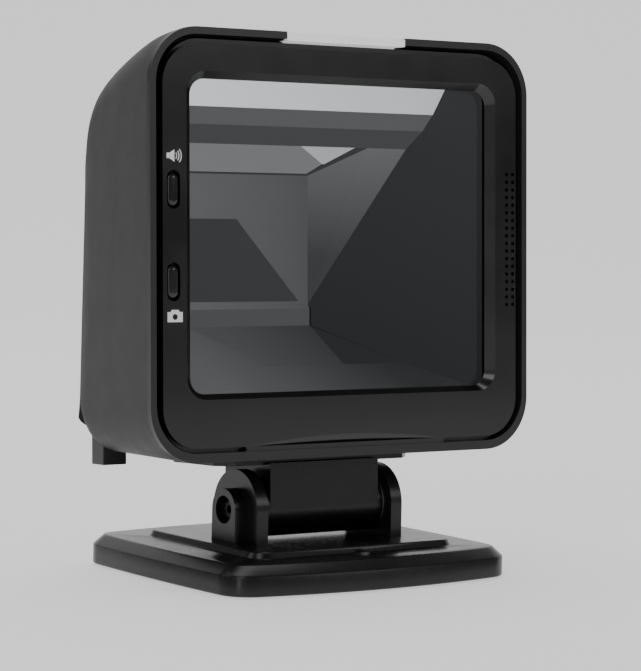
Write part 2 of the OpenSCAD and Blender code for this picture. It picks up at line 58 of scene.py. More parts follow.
VIEW_FORWARD = Vector((0.57563, 0.81563, -0.05819))


def add_camera():
    """The camera stands in front, to the left and a little above the middle, and looks slightly down."""
    place = Vector((-397.577, -571.790, 101.462)) * MM
    right = Vector((0.81756, -0.57541, 0.02215))
    up = Vector((0.01542, 0.06033, 0.99806))
    data = bpy.data.cameras.new("camera")
    data.lens = 145.44
    data.sensor_width = 36
    data.clip_start = 0.05
    camera = bpy.data.objects.new("camera", data)
    bpy.context.scene.collection.objects.link(camera)
    axes = Matrix((right, up, -VIEW_FORWARD)).transposed()
    camera.matrix_world = Matrix.Translation(place) @ axes.to_4x4()
    bpy.context.scene.camera = camera


add_camera()

# ---- the head's own upright frame ----

PIVOT = Vector(JOINTS["head_tilt"]["pos_m"])
PRESS = Vector(JOINTS["volume_press"]["axis"])
LEAN = math.atan2(-PRESS.z, PRESS.y)
HEAD = Matrix.Translation(PIVOT) @ Matrix.Rotation(-LEAN, 4, "X") @ Matrix.Translation(-PIVOT)
UPRIGHT = HEAD.inverted()


def upright_box(node):
    """Lowest and highest corners of a head node, measured with the head upright."""
    points = [UPRIGHT @ v.co for v in NODES[node].data.vertices]
    low = Vector([min(p[i] for p in points) for i in range(3)])
    high = Vector([max(p[i] for p in points) for i in range(3)])
    return low, high


RIM_LOW, RIM_HIGH = upright_box("bezel_frame")
PANEL_LOW = upright_box("front_panel")[0]
SHELL_LOW = upright_box("rear_housing")[0]
COVER_LOW, COVER_HIGH = upright_box("rear_cover")
GLASS_HIGH = upright_box("window_glass")[1]
BAFFLE_HIGH = upright_box("light_baffle")[1]
FACE_Y = RIM_LOW.y
SEAM_Y = SHELL_LOW.y
BOTTOM = RIM_LOW.z
HEAD_W = RIM_HIGH.x - RIM_LOW.x
HEAD_H = RIM_HIGH.z - RIM_LOW.z

# ---- materials ----


class Nodes:
    """Short calls for building a material's node tree."""

    def __init__(self, name):
        self.material = bpy.data.materials.new(name)
        self.material.use_nodes = True
        self.tree = self.material.node_tree
        self.shader = self.tree.nodes["Principled BSDF"]
        self.output = self.tree.nodes["Material Output"]
        self.place = self.add("ShaderNodeTexCoord").outputs["Object"]

    def add(self, kind, **inputs):
        node = self.tree.nodes.new(kind)
        for key, value in inputs.items():
            node.inputs[key.replace("_", " ")].default_value = value
        return node

    def link(self, source, target):
        self.tree.links.new(source, target)

    def noise(self, size_mm, detail=3, rough=0.5, stretch=None):
        node = self.add("ShaderNodeTexNoise", Scale=1 / (size_mm * MM), Detail=detail, Roughness=rough)
        if stretch:
            mapping = self.add("ShaderNodeMapping")
            mapping.inputs["Scale"].default_value = stretch
            self.link(self.place, mapping.inputs["Vector"])
            self.link(mapping.outputs["Vector"], node.inputs["Vector"])
        else:
            self.link(self.place, node.inputs["Vector"])
        return node.outputs["Fac"]

    def spread(self, value, low, high, start=0.3, end=0.7):
        node = self.add("ShaderNodeMapRange")
        for key, number in (("From Min", start), ("From Max", end), ("To Min", low), ("To Max", high)):
            node.inputs[key].default_value = number
        self.link(value, node.inputs["Value"])
        return node.outputs["Result"]

    def tint(self, value, dark, light, start=0.3, end=0.7):
        ramp = self.add("ShaderNodeValToRGB")
        ramp.color_ramp.elements[0].position = start
        ramp.color_ramp.elements[0].color = (*dark, 1)
        ramp.color_ramp.elements[1].position = end
        ramp.color_ramp.elements[1].color = (*light, 1)
        self.link(value, ramp.inputs["Fac"])
        self.link(ramp.outputs["Color"], self.shader.inputs["Base Color"])

    def bump(self, height, depth_mm, strength):
        node = self.add("ShaderNodeBump", Strength=strength, Distance=depth_mm * MM)
        self.link(height, node.inputs["Height"])
        self.link(node.outputs["Normal"], self.shader.inputs["Normal"])


def grey(level, blue=1.02):
    return (level, level, level * blue)


def moulded(name, tone, rough, grain_mm=0.35, depth_mm=0.02, strength=0.5, specular=0.5):
    """Moulded plastic with an eroded fine grain, faint flow marks and a little handling wear."""
    m = Nodes(name)
    grain = m.noise(grain_mm, 4, 0.6)
    flow = m.noise(28, 2, 0.4)
    m.tint(flow, grey(tone * 0.96), grey(tone * 1.04))
    wear = m.noise(7, 5, 0.65)
    m.link(m.spread(wear, rough - 0.02, rough + 0.03), m.shader.inputs["Roughness"])
    m.bump(grain, depth_mm, strength)
    m.shader.inputs["Specular IOR Level"].default_value = specular
    return m.material


def polished(name, tone, rough, coat=0.0):
    """Polished plastic: nearly flat, with faint smudges and hairline waviness."""
    m = Nodes(name)
    smudge = m.noise(16, 4, 0.55)
    m.tint(smudge, grey(tone * 0.85), grey(tone * 1.15))
    m.link(m.spread(smudge, rough, rough + 0.06, 0.4, 0.75), m.shader.inputs["Roughness"])
    m.bump(m.noise(9, 2, 0.4), 0.01, 0.12)
    m.shader.inputs["Coat Weight"].default_value = coat
    m.shader.inputs["Coat Roughness"].default_value = 0.06
    return m.material


def metal(name, tone, rough, stretch):
    """Turned or drawn steel with fine tool marks along one direction."""
    m = Nodes(name)
    lines = m.noise(0.6, 3, 0.6, stretch)
    m.tint(lines, grey(tone * 0.8), grey(tone * 1.1))
    m.link(m.spread(lines, rough, rough + 0.18), m.shader.inputs["Roughness"])
    m.bump(lines, 0.01, 0.3)
    m.shader.inputs["Metallic"].default_value = 1.0
    return m.material


def translucent(name, tone, rough, glow):
    """Milky plastic with soft internal clouding and an emission glow, which on the diffuser is a painted
    reflection of the bright surroundings.
    """
    m = Nodes(name)
    cloud = m.noise(6, 3, 0.5)
    m.tint(cloud, grey(tone * 0.96, 1.0), grey(tone, 1.0))
    m.link(m.spread(cloud, rough, rough + 0.08), m.shader.inputs["Roughness"])
    m.bump(m.noise(0.8, 2, 0.5), 0.01, 0.2)
    m.shader.inputs["Subsurface Weight"].default_value = 0.15
    m.shader.inputs["Subsurface Radius"].default_value = (0.002, 0.002, 0.002)
    m.shader.inputs["Emission Color"].default_value = (1, 1, 1, 1)
    m.shader.inputs["Emission Strength"].default_value = glow
    return m.material


def window_pane(name):
    """Clear hardened glass: see-through, with a sharp reflection that grows at grazing angles."""
    m = Nodes(name)
    tree = m.tree
    tree.nodes.remove(m.shader)
    clear = m.add("ShaderNodeBsdfTransparent")
    clear.inputs["Color"].default_value = (0.86, 0.87, 0.88, 1)
    gloss = m.add("ShaderNodeBsdfGlossy")
    gloss.inputs["Color"].default_value = (0.9, 0.92, 0.95, 1)
    haze = m.noise(22, 4, 0.5)
    m.link(m.spread(haze, 0.02, 0.06, 0.4, 0.75), gloss.inputs["Roughness"])
    fresnel = m.add("ShaderNodeFresnel", IOR=1.5)
    mix = m.add("ShaderNodeMixShader")
    m.link(fresnel.outputs["Fac"], mix.inputs["Fac"])
    m.link(clear.outputs["BSDF"], mix.inputs[1])
    m.link(gloss.outputs["BSDF"], mix.inputs[2])
    m.link(mix.outputs["Shader"], m.output.inputs["Surface"])
    return m.material


def circuit(name):
    """Green solder mask with fine copper runs under it."""
    m = Nodes(name)
    runs = m.add("ShaderNodeTexBrick", Scale=420.0)
    m.link(m.place, runs.inputs["Vector"])
    m.tint(runs.outputs["Fac"], (0.012, 0.07, 0.035), (0.03, 0.15, 0.07), 0.2, 0.8)
    m.bump(runs.outputs["Fac"], 0.02, 0.4)
    m.link(m.spread(m.noise(3), 0.3, 0.42), m.shader.inputs["Roughness"])
    return m.material


TURNED = (1, 12, 12)
MATERIALS = {
    "base": moulded("base_satin", 0.01, 0.26, 0.4, 0.03, 0.35, 0.4),
    "shell": moulded("shell_texture", 0.014, 0.46, 0.3, 0.03, 0.5, 0.13),
    "rim": moulded("rim_satin", 0.014, 0.3, 0.25, 0.01, 0.3),
    "neck": moulded("neck_satin", 0.004, 0.28, 0.35, 0.02, 0.35, 0.35),
    "lug": moulded("lug_plastic", 0.02, 0.4, 0.3),
    "rubber": moulded("rubber_matte", 0.012, 0.75, 0.5, 0.05, 0.6, 0.3),
    "foam": moulded("gasket_foam", 0.004, 0.85, 0.3, 0.06, 0.7, 0.2),
    "panel": polished("panel_gloss", 0.006, 0.2, 0.15),
    "button": polished("button_gloss", 0.012, 0.16),
    "glass": window_pane("window_pane"),
    "lens": polished("lens_coating", 0.02, 0.03, 1.0),
    "light_pipe": translucent("light_pipe", 0.86, 0.25, 0.34),
    # the diffuser's glow is a painted reflection of the bright surroundings; its lamps are off
    "diffuser": translucent("diffuser_opal", 0.9, 0.45, 0.55),
    "board": circuit("circuit_board"),
    "chip": moulded("chip_epoxy", 0.012, 0.5, 0.2),
    "led": translucent("led_phosphor", 0.8, 0.3, 0.2),
    "socket": moulded("socket_plastic", 0.012, 0.4, 0.25),
    "nylon": moulded("nylon", 0.5, 0.45, 0.4),
    "steel": metal("steel_turned", 0.45, 0.25, TURNED),
    "zinc": metal("steel_zinc", 0.6, 0.3, TURNED),
    "black_steel": metal("steel_black_oxide", 0.05, 0.35, TURNED),
    "gold": metal("contact_gold", 0.7, 0.2, TURNED),
    "ink": moulded("icon_ink", 0.8, 0.4, 0.2, 0.01, 0.2),
}

# ---- finishing the CAD pieces ----

LOOKS = {
    "ballast_plate": ("steel", 0.3),
    "bottom_cover": ("base", 0.2),
    "rubber_feet": ("rubber", 0.3),
    "base_screws": ("zinc", 0.1),
    "pivot_axle": ("steel", 0.2),
    "pivot_screws": ("black_steel", 0.15),
    "friction_washers": ("nylon", 0.1),
    "neck": ("neck", 0.45),
    "neck_screws": ("zinc", 0.1),
    "cover_screws": ("black_steel", 0.1),
    "rear_feet": ("lug", 0.5),
    "bezel_frame": ("rim", 0.3),
    "bezel_screws": ("zinc", 0.1),
    "front_panel": ("panel", 0.25),
    "window_gasket": ("foam", 0.05),
    "window_glass": ("glass", 0.0),
    "light_bar": ("light_pipe", 0.3),
    "status_led_board": ("board", 0.05),
    "status_leds": ("led", 0.2),
    "diffuser_panel": ("diffuser", 0.2),
    "illumination_board": ("board", 0.05),
    "illumination_leds": ("led", 0.2),
    "imager_housing": ("chip", 0.3),
    "imager_lens": ("lens", 0.3),
    "aimer_lens": ("lens", 0.2),
    "image_sensor_board": ("board", 0.05),
    "main_board": ("board", 0.05),
    "main_board_parts": ("chip", 0.15),
    "board_screws": ("zinc", 0.1),
    "cable_socket": ("socket", 0.2),
    "socket_contacts": ("gold", 0.03),
    "speaker": ("chip", 0.2),
    "button_board": ("board", 0.05),
    "button_switches": ("steel", 0.15),
}
BEVEL_ANGLE = math.radians(32)
SMOOTH_ANGLE = math.radians(30)


def smooth_by_angle(thing):
    """Smooth shading that keeps edges sharper than SMOOTH_ANGLE."""
    mesh = thing.data
    mesh.shade_smooth()
    work = bmesh.new()
    work.from_mesh(mesh)
    for edge in work.edges:
        faces = edge.link_faces
        edge.smooth = len(faces) == 2 and faces[0].normal.angle(faces[1].normal, 0) < SMOOTH_ANGLE
    work.to_mesh(mesh)
    work.free()


def round_edges(thing, width_mm, weld=True):
    """Welds and joins the flat faces, rounds the sharp edges and evens the shading."""
    if weld:
        joined = thing.modifiers.new("weld", "WELD")
        joined.merge_threshold = 1e-6
        flat = thing.modifiers.new("flat", "DECIMATE")
        flat.decimate_type = "DISSOLVE"
        flat.angle_limit = math.radians(0.3)
    if width_mm:
        bevel = thing.modifiers.new("bevel", "BEVEL")
        bevel.width = width_mm * MM
        bevel.segments = 3
        bevel.limit_method = "ANGLE"
        bevel.angle_limit = BEVEL_ANGLE
        bevel.miter_outer = "MITER_ARC"
        bevel.harden_normals = False
        even = thing.modifiers.new("even", "WEIGHTED_NORMAL")
        even.keep_sharp = False
        even.weight = 80


def paint(thing, look):
    thing.data.materials.clear()
    thing.data.materials.append(MATERIALS[look])


for node, (look, width) in LOOKS.items():
    paint(NODES[node], look)
    if width:
        NODES[node].data.shade_smooth()
        round_edges(NODES[node], width)
    else:
        NODES[node].data.shade_flat()

# ---- mesh building ----


def new_piece(name, points, faces, look, body, stand_for=(), upright=True):
    """Makes one finished piece. Points are in millimetres, upright for a head piece."""
    mesh = bpy.data.meshes.new(name)
    mesh.from_pydata([Vector(p) * MM for p in points], [], faces)
    mesh.validate()
    if upright:
        mesh.transform(HEAD)
    thing = bpy.data.objects.new(name, mesh)
    bpy.context.scene.collection.objects.link(thing)
    work = bmesh.new()
    work.from_mesh(mesh)
    bmesh.ops.recalc_face_normals(work, faces=work.faces)
    work.to_mesh(mesh)
    work.free()
    thing.data.materials.append(MATERIALS[look])
    if stand_for:
        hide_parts(*stand_for)
    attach(thing, body)
    return thing


def ring_faces(count, rings, close_first=True, close_last=True):
    """Quads between equal rings of points, with flat ends where asked."""
    faces = []
    for r in range(rings - 1):
        for i in range(count):
            j = (i + 1) % count
            faces.append((r * count + i, r * count + j, (r + 1) * count + j, (r + 1) * count + i))
    if close_first:
        faces.append(tuple(range(count))[::-1])
    if close_last:
        faces.append(tuple((rings - 1) * count + i for i in range(count)))
    return faces


CORNER_STEPS = 14
OUTLINE_POINTS = 4 * (CORNER_STEPS + 1)


def rounded_outline(half_w, low, high, r, steps=CORNER_STEPS):
    """Points (x, z) round a rectangle with round corners."""
    points = []
    for sx, z, start in ((1, high - r, 0), (-1, high - r, 90), (-1, low + r, 180), (1, low + r, 270)):
        for i in range(steps + 1):
            a = math.radians(start + 90 * i / steps)
            points.append((sx * (half_w - r) + r * math.cos(a), z + r * math.sin(a)))
    return points


def curve_value(a, b, c, d, t):
    """Catmull-Rom curve between b and c, at t from 0 to 1."""
    square, cube = 2 * a - 5 * b + 4 * c - d, 3 * b - a - 3 * c + d
    return 0.5 * (2 * b + (c - a) * t + square * t**2 + cube * t**3)


def smooth_curve(points, per_span):
    """Points on a smooth curve through the given ones."""
    out = []
    last = len(points) - 1
    for i in range(last):
        p0 = points[max(i - 1, 0)]
        p1, p2 = points[i], points[i + 1]
        p3 = points[min(i + 2, last)]
        for k in range(per_span):
            t = k / per_span
            out.append(tuple(curve_value(a, b, c, d, t) for a, b, c, d in zip(p0, p1, p2, p3)))
    out.append(points[-1])
    return out


def combine(thing, other, operation):
    """Applies a boolean with another solid, and drops that one."""
    modifier = thing.modifiers.new("combine", "BOOLEAN")
    modifier.operation = operation
    modifier.object = other
    modifier.solver = "EXACT"
    apply_modifiers(thing)
    bpy.data.objects.remove(other)


def cut(thing, cutter):
    combine(thing, cutter, "DIFFERENCE")


def apply_modifiers(thing):
    bpy.context.view_layer.update()
    graph = bpy.context.evaluated_depsgraph_get()
    mesh = bpy.data.meshes.new_from_object(thing.evaluated_get(graph))
    thing.modifiers.clear()
    thing.data = mesh


def tool(points, faces, upright=True):
    """A plain solid that only cuts others."""
    mesh = bpy.data.meshes.new("tool")
    mesh.from_pydata([Vector(p) * MM for p in points], [], faces)
    if upright:
        mesh.transform(HEAD)
    thing = bpy.data.objects.new("tool", mesh)
    bpy.context.scene.collection.objects.link(thing)
    work = bmesh.new()
    work.from_mesh(mesh)
    bmesh.ops.recalc_face_normals(work, faces=work.faces)
    work.to_mesh(mesh)
    work.free()
    return thing


def box_tool(low, high):
    """A box that only cuts others, between two corners of the upright head."""
    points = [(x, y, z) for z in (low[2], high[2]) for x, y in (
        (low[0], low[1]), (high[0], low[1]), (high[0], high[1]), (low[0], high[1]))]
    return tool(points, ring_faces(4, 2))


def plate_tool(outline, y0, y1):
    points = [(x, y0, z) for x, z in outline] + [(x, y1, z) for x, z in outline]
    return tool(points, ring_faces(len(outline), 2))


# ---- rear housing ----

face_y = FACE_Y / MM
seam_y = SEAM_Y / MM
bottom = BOTTOM / MM
head_h = HEAD_H / MM
head_w = HEAD_W / MM
CORNER_R = 13.5
CORNER_R_BACK = 9
SIDE_TAPER = 0.234
BACK_SLOPE = 0.0935
BACK_ROUND = 9
COVER_R = 9
BACK_FOOT_Y = face_y + 57
NOTCH_DEPTH = 2.25
COVER_FOOT_V = 10
COVER_T = 3.2
COVER_HUMP = [(0, 0), (38, 1.2), (58, 2.2), (68, 2.4), (73, 1.4), (77, -1.2)]
COVER_SCREWS = [(-34, 22), (34, 22), (-34, 72), (34, 72)]
SCREW_POCKET_R = 2.7
CROWN = [(0, 0), (10.5, 0.8), (20.5, 2.9), (30.5, 5.6), (38.5, 8.4), (43.5, 11.2), (47, 15.6), (49, 23)]


def half_width(y):
    return head_w / 2 - SIDE_TAPER * (y - seam_y)


def back_y(z):
    return BACK_FOOT_Y - BACK_SLOPE * (z - bottom - BACK_ROUND)


def shell_stations(inset):
    """Depth, lowest and highest z of each section of the rear housing, drawn in by inset."""
    out = []
    for along, drop in smooth_curve(CROWN, 5):
        out.append((seam_y + along, bottom, bottom + head_h - drop))
    y = out[-1][0]
    steps = 36
    for i in range(1, steps + 1):
        yy = y + (BACK_FOOT_Y - 0.05 - y) * i / steps
        top = bottom + BACK_ROUND + (BACK_FOOT_Y - yy) / BACK_SLOPE
        over = max(0, yy - BACK_FOOT_Y + BACK_ROUND)
        low = bottom + BACK_ROUND - math.sqrt(max(0, BACK_ROUND**2 - over**2))
        out.append((yy, low, top))
    result = []
    for yy, low, high in out:
        over = max(0, yy - BACK_FOOT_Y + BACK_ROUND)
        low = max(low, bottom + BACK_ROUND - math.sqrt(max(0, BACK_ROUND**2 - over**2)))
        result.append((yy - inset, low + inset, high - inset))
    return result


def shell_rings(inset):
    points = []
    stations = shell_stations(inset)
    for y, low, high in stations:
        share = (y + inset - seam_y) / 55
        r = CORNER_R - (CORNER_R - CORNER_R_BACK) * share
        r = max(0.3, min(r - inset, (high - low) / 2 - 0.02))
        points += [(x, y, z) for x, z in rounded_outline(half_width(y + inset) - inset, low, high, r)]
    return points, len(stations)


def build_housing():
    """The tapering rear shell: outer skin, inner skin and the seam edge between them."""
    wall = 2
    count = OUTLINE_POINTS
    outer, rings = shell_rings(0)
    inner, inner_rings = shell_rings(wall)
    # the inner skin starts flush with the seam
    inner[:count] = [(x, seam_y, z) for x, y, z in inner[:count]]
    points = outer + inner
    shift = len(outer)
    faces = ring_faces(count, rings, close_first=False)
    faces += [tuple(shift + i for i in f)[::-1] for f in ring_faces(count, inner_rings, close_first=False)]
    faces += [(i, (i + 1) % count, shift + (i + 1) % count, shift + i) for i in range(count)]
    thing = new_piece("housing_shell", points, faces, "shell", "head", ["rear_housing"])
    gap = 0.12
    low, high = COVER_LOW / MM, COVER_HIGH / MM
    outline = rounded_outline(high.x + gap, low.z - gap, high.z + gap, COVER_R + gap)
    cut(thing, plate_tool(outline, 20, 45))
    socket_low, socket_high = (c / MM for c in upright_box("cable_socket"))
    room = 0.2
    cut(thing, box_tool((socket_low.x - room, socket_low.y - room, bottom - 2),
                        (socket_high.x + room, socket_high.y + room, bottom + 4)))
    bar_low, bar_high = (c / MM for c in upright_box("light_bar"))
    top = bottom + head_h
    cut(thing, box_tool((bar_low.x - 0.1, seam_y - 1, top - NOTCH_DEPTH),
                        (bar_high.x + 0.1, bar_high.y + 0.05, top + 3)))
    smooth_by_angle(thing)
    return thing


build_housing()


def build_rear_cover():
    """The bulged cover on the back, with its rounded edge."""
    hump = smooth_curve(COVER_HUMP, 6)
    foot_z = bottom + COVER_FOOT_V
    low, high = COVER_LOW / MM, COVER_HIGH / MM
    outer = [(back_y(foot_z + v) + rise, foot_z + v) for v, rise in hump]
    inner = [(back_y(z) - COVER_T, z) for y, z in reversed(outer)]
    profile = outer + inner
    reach = high.x + 5
    points = [(-reach, y, z) for y, z in profile] + [(reach, y, z) for y, z in profile]
    thing = new_piece("back_cover", points, ring_faces(len(profile), 2), "shell", "head",
                      ["rear_cover"])
    combine(thing, plate_tool(rounded_outline(high.x, low.z, high.z, COVER_R), 10, 50), "INTERSECT")
    for x, v in COVER_SCREWS:
        hole = [(x + SCREW_POCKET_R * math.cos(a), bottom + v + SCREW_POCKET_R * math.sin(a))
                for a in (math.radians(15 * i) for i in range(24))]
        cut(thing, plate_tool(hole, back_y(bottom + v) - 0.5, 50))
    bevel = thing.modifiers.new("bevel", "BEVEL")
    bevel.width = 0.5 * MM
    bevel.segments = 3
    bevel.limit_method = "ANGLE"
    bevel.angle_limit = BEVEL_ANGLE
    smooth_by_angle(thing)
    return thing


build_rear_cover()

# ---- base ----


def base_outline(inset, steps=20):
    """Points (x, y) round the base: four shallow arcs joined by round corners."""
    low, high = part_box("base_cover")
    half_w, half_d = high.x / MM, high.y / MM
    bow_front, bow_side, corner = 5, 1.5, 8.5
    r_front = (half_w**2 + bow_front**2) / (2 * bow_front)
    r_side = (half_d**2 + bow_side**2) / (2 * bow_side)
    # the corner's circle touches the front arc and the side arc from inside
    front_y, side_x = half_d - r_front, half_w - r_side
    cx, cy = half_w - corner - 2, half_d - corner - 5
    for _ in range(60):
        cy = front_y + math.sqrt((r_front - corner) ** 2 - cx**2)
        cx = side_x + math.sqrt((r_side - corner) ** 2 - cy**2)
    front_a = math.atan2(cy - front_y, cx)
    side_a = math.atan2(cy, cx - side_x)
    quarter = []
    for i in range(steps):
        a = side_a * i / steps
        quarter.append((side_x + (r_side - inset) * math.cos(a), (r_side - inset) * math.sin(a)))
    for i in range(steps):
        a = side_a + (front_a - side_a) * i / steps
        quarter.append((cx + (corner - inset) * math.cos(a), cy + (corner - inset) * math.sin(a)))
    for i in range(steps):
        a = front_a + (math.pi / 2 - front_a) * i / steps
        quarter.append(((r_front - inset) * math.cos(a), front_y + (r_front - inset) * math.sin(a)))
    top = (0, front_y + r_front - inset)
    left = [(-x, y) for x, y in reversed(quarter[1:])]
    return quarter + [top] + left + [(-quarter[0][0], 0)] + [(x, -y) for x, y in reversed(left)] + [
        (0, -top[1])] + [(x, -y) for x, y in reversed(quarter[1:])]


STEP_Z = 9.6
TOP_Z = 8.0
BASE_INNER_Z = 6
BASE_WALL = 3
EAR_R = 10
EAR_IN_X = 19.1
EAR_OUT_X = 22.5
BOSS_R = 5.3
BOSS_OUT_X = 26.0
POCKET_R = 3.55
POCKET_X = 23.6
AXLE_R = 3
DESK_HOLE_Y = 30
DESK_HOLE_R = 2.1
DESK_SINK_R = 2.95
DESK_SINK_DEPTH = 0.8


def obround_profile(r, foot_z, pivot_y, pivot_z, steps=24):
    """An arch: a half circle about the tilt axis on straight legs, points (y, z)."""
    arch = [(pivot_y + r * math.cos(math.pi * i / steps), pivot_z + r * math.sin(math.pi * i / steps))
            for i in range(steps + 1)]
    return [(pivot_y + r, foot_z)] + arch + [(pivot_y - r, foot_z)]


def round_bar_tool(x0, x1, y, z, r, steps=48):
    ring = [(y + r * math.cos(2 * math.pi * i / steps), z + r * math.sin(2 * math.pi * i / steps))
            for i in range(steps)]
    points = [(x0, a, b) for a, b in ring] + [(x1, a, b) for a, b in ring]
    return tool(points, ring_faces(steps, 2), upright=False)


def build_base():
    """The moulded base: crisp chamfer, raised step and the two ears with their bosses."""
    levels = [(0.5, 0.3), (0.8, 0), (5.3, 0), (5.5, 0.08), (5.75, 0.3), (7.7, 2.5), (7.9, 2.75), (TOP_Z, 3.1)]
    rings = []
    for z, inset in levels:
        rings.append([(x, y, z) for x, y in base_outline(inset)])
    count = len(rings[0])
    points = [p for ring in rings for p in ring]
    thing = new_piece("base_shell", points, ring_faces(count, len(rings)), "base", "base",
                      ["base_cover"], upright=False)
    step_low, step_high = (-30.5, -27), (30.5, 25)
    mid_y = (step_low[1] + step_high[1]) / 2
    step = []
    step_levels = ((TOP_Z - 0.5, -1.1), (TOP_Z, -0.9), (TOP_Z + 0.15, -0.6), (STEP_Z - 0.2, 0.0),
                   (STEP_Z, 0.3))
    for z, inset in step_levels:
        outline = rounded_outline(step_high[0] - inset, step_low[1] - mid_y + inset,
                                  step_high[1] - mid_y - inset, 4.5 - inset)
        step.append([(x, y + mid_y, z) for x, y in outline])
    solids = [tool([p for ring in step for p in ring], ring_faces(len(step[0]), len(step)), upright=False)]
    pivot = PIVOT / MM
    for side in (-1, 1):
        for r, x0, x1 in ((EAR_R, EAR_IN_X, EAR_OUT_X), (BOSS_R, EAR_IN_X + 0.5, BOSS_OUT_X)):
            profile = obround_profile(r, TOP_Z - 0.4, pivot.y, pivot.z)
            ends = [(side * x0, y, z) for y, z in profile] + [(side * x1, y, z) for y, z in profile]
            solids.append(tool(ends, ring_faces(len(profile), 2), upright=False))
    for solid in solids:
        combine(thing, solid, "UNION")
    past_x = BOSS_OUT_X + 4
    cut(thing, round_bar_tool(-past_x, past_x, pivot.y, pivot.z, AXLE_R))
    for side in (-1, 1):
        cut(thing, round_bar_tool(side * POCKET_X, side * past_x, pivot.y, pivot.z, POCKET_R))
        hole = [(DESK_HOLE_R, 0), (DESK_HOLE_R, TOP_Z - DESK_SINK_DEPTH), (DESK_SINK_R, TOP_Z),
                (DESK_SINK_R, TOP_Z + 1)]
        steps = 40
        turns = [2 * math.pi * i / steps for i in range(steps)]
        turned = [(r * math.cos(a), side * DESK_HOLE_Y + r * math.sin(a), z) for r, z in hole for a in turns]
        cut(thing, tool(turned, ring_faces(steps, len(hole)), upright=False))
    hollow = [(x, y, z) for z in (-1, BASE_INNER_Z) for x, y in base_outline(BASE_WALL)]
    cut(thing, tool(hollow, ring_faces(len(hollow) // 2, 2), upright=False))
    bevel = thing.modifiers.new("bevel", "BEVEL")
    bevel.width = 0.35 * MM
    bevel.segments = 3
    bevel.limit_method = "ANGLE"
    bevel.angle_limit = math.radians(50)
    smooth_by_angle(thing)
    return thing


build_base()

# ---- buttons ----


def build_button(node):
    """A convex button cap with its flange and stem, in place of the plain CAD one."""
    low, high = (c / MM for c in upright_box(node))
    mid_x, mid_z = (low.x + high.x) / 2, (low.z + high.z) / 2
    cap_w, cap_l = 1.6, 4.1
    front = low.y
    flange_y = face_y + 2.35
    flange_back_y = flange_y + 0.7
    crown = [(front, 1.25), (front + 0.02, 1.0), (front + 0.1, 0.7), (front + 0.25, 0.4),
             (front + 0.5, 0.14), (front + 0.8, 0.0)]
    flange = [(flange_y, 0.0), (flange_y, -0.75), (flange_back_y, -0.75), (flange_back_y, 0.4)]
    levels = crown + flange + [(high.y, 0.4)]
    points = []
    for y, inset in levels:
        r = cap_w - inset
        outline = rounded_outline(r, -cap_l + inset, cap_l - inset, r - 0.001)
        points += [(mid_x + x, y, mid_z + z) for x, z in outline]
    thing = new_piece(node + "_cap", points, ring_faces(OUTLINE_POINTS, len(levels)), "button", node,
                      [node])
    smooth_by_angle(thing)
    return thing


build_button("volume_button")
build_button("trigger_button")

# ---- printed icons ----

ICON_Y = PANEL_LOW.y / MM - 0.02
ICON_T = 0.03


def icon_plate(name, outlines):
    """Flat printed marks just proud of the panel, from outlines of (x, z) points."""
    points, faces = [], []
    for outline in outlines:
        start = len(points)
        points += [(x, ICON_Y, z) for x, z in outline] + [(x, ICON_Y + ICON_T, z) for x, z in outline]
        faces += [tuple(start + i for i in f) for f in ring_faces(len(outline), 2)]
    return new_piece(name, points, faces, "ink", "head")


def arc_band(cx, cz, r, width, half_angle, steps=10):
    """A curved stroke round (cx, cz), opening to +x."""
    angles = [math.radians(-half_angle + 2 * half_angle * i / steps) for i in range(steps + 1)]
    far, near = r + width / 2, r - width / 2
    outer = [(cx + far * math.cos(a), cz + far * math.sin(a)) for a in angles]
    inner = [(cx + near * math.cos(a), cz + near * math.sin(a)) for a in reversed(angles)]
    return outer + inner


def build_icons():
    """A generic speaker over the volume button and a generic camera under the trigger button."""
    x, z = -51.0, bottom + 74.3
    cone = [(x - 2.3, z - 0.65), (x - 1.5, z - 0.65), (x - 0.1, z - 1.5), (x - 0.1, z + 1.5),
            (x - 1.5, z + 0.65), (x - 2.3, z + 0.65)]
    waves = [arc_band(x - 0.55, z, r, 0.28, 40) for r in (1.1, 1.75, 2.4)]
    icon_plate("speaker_icon", [cone] + waves)
    z = bottom + 35.8
    half, low, high, hump = 2.15, z - 1.5, z + 0.95, z + 1.45
    lens_r, steps = 0.72, 16
    lens_z = z - 0.25
    turns = [math.pi * (0.5 + i / steps) for i in range(steps + 1)]
    ring = [(x + lens_r * math.cos(a), lens_z + lens_r * math.sin(a)) for a in turns]
    left = [(x, hump), (x - 1.05, hump), (x - 1.2, high), (x - half, high), (x - half, low), (x, low)]
    left += list(reversed(ring))
    right = [(2 * x - px, pz) for px, pz in reversed(left)]
    icon_plate("camera_icon", [left, right])


build_icons()

# ---- light baffle behind the window ----

def facet(name, tone, glow, along=None):
    """Matte lining plastic whose tone and emission glow are painted light and shade, lifted a little where
    the light that bounces inside the funnel would fall.

    along = (axis, from, to, glow at the end) fades that painted light across the piece, in metres.
    """
    m = Nodes(name)
    m.tint(m.noise(9, 2, 0.4), grey(tone * 0.96), grey(tone * 1.04))
    m.link(m.spread(m.noise(6, 3), 0.66, 0.74), m.shader.inputs["Roughness"])
    m.bump(m.noise(0.3, 4, 0.6), 0.02, 0.3)
    m.shader.inputs["Specular IOR Level"].default_value = 0.2
    m.shader.inputs["Emission Color"].default_value = (1, 1, 1, 1)
    # the emission glow is painted light, not a lamp
    m.shader.inputs["Emission Strength"].default_value = glow
    if along:
        axis, start, end, last = along
        split = m.add("ShaderNodeSeparateXYZ")
        m.link(m.place, split.inputs["Vector"])
        m.link(m.spread(split.outputs[axis], glow, last, start, end), m.shader.inputs["Emission Strength"])
    return m.material
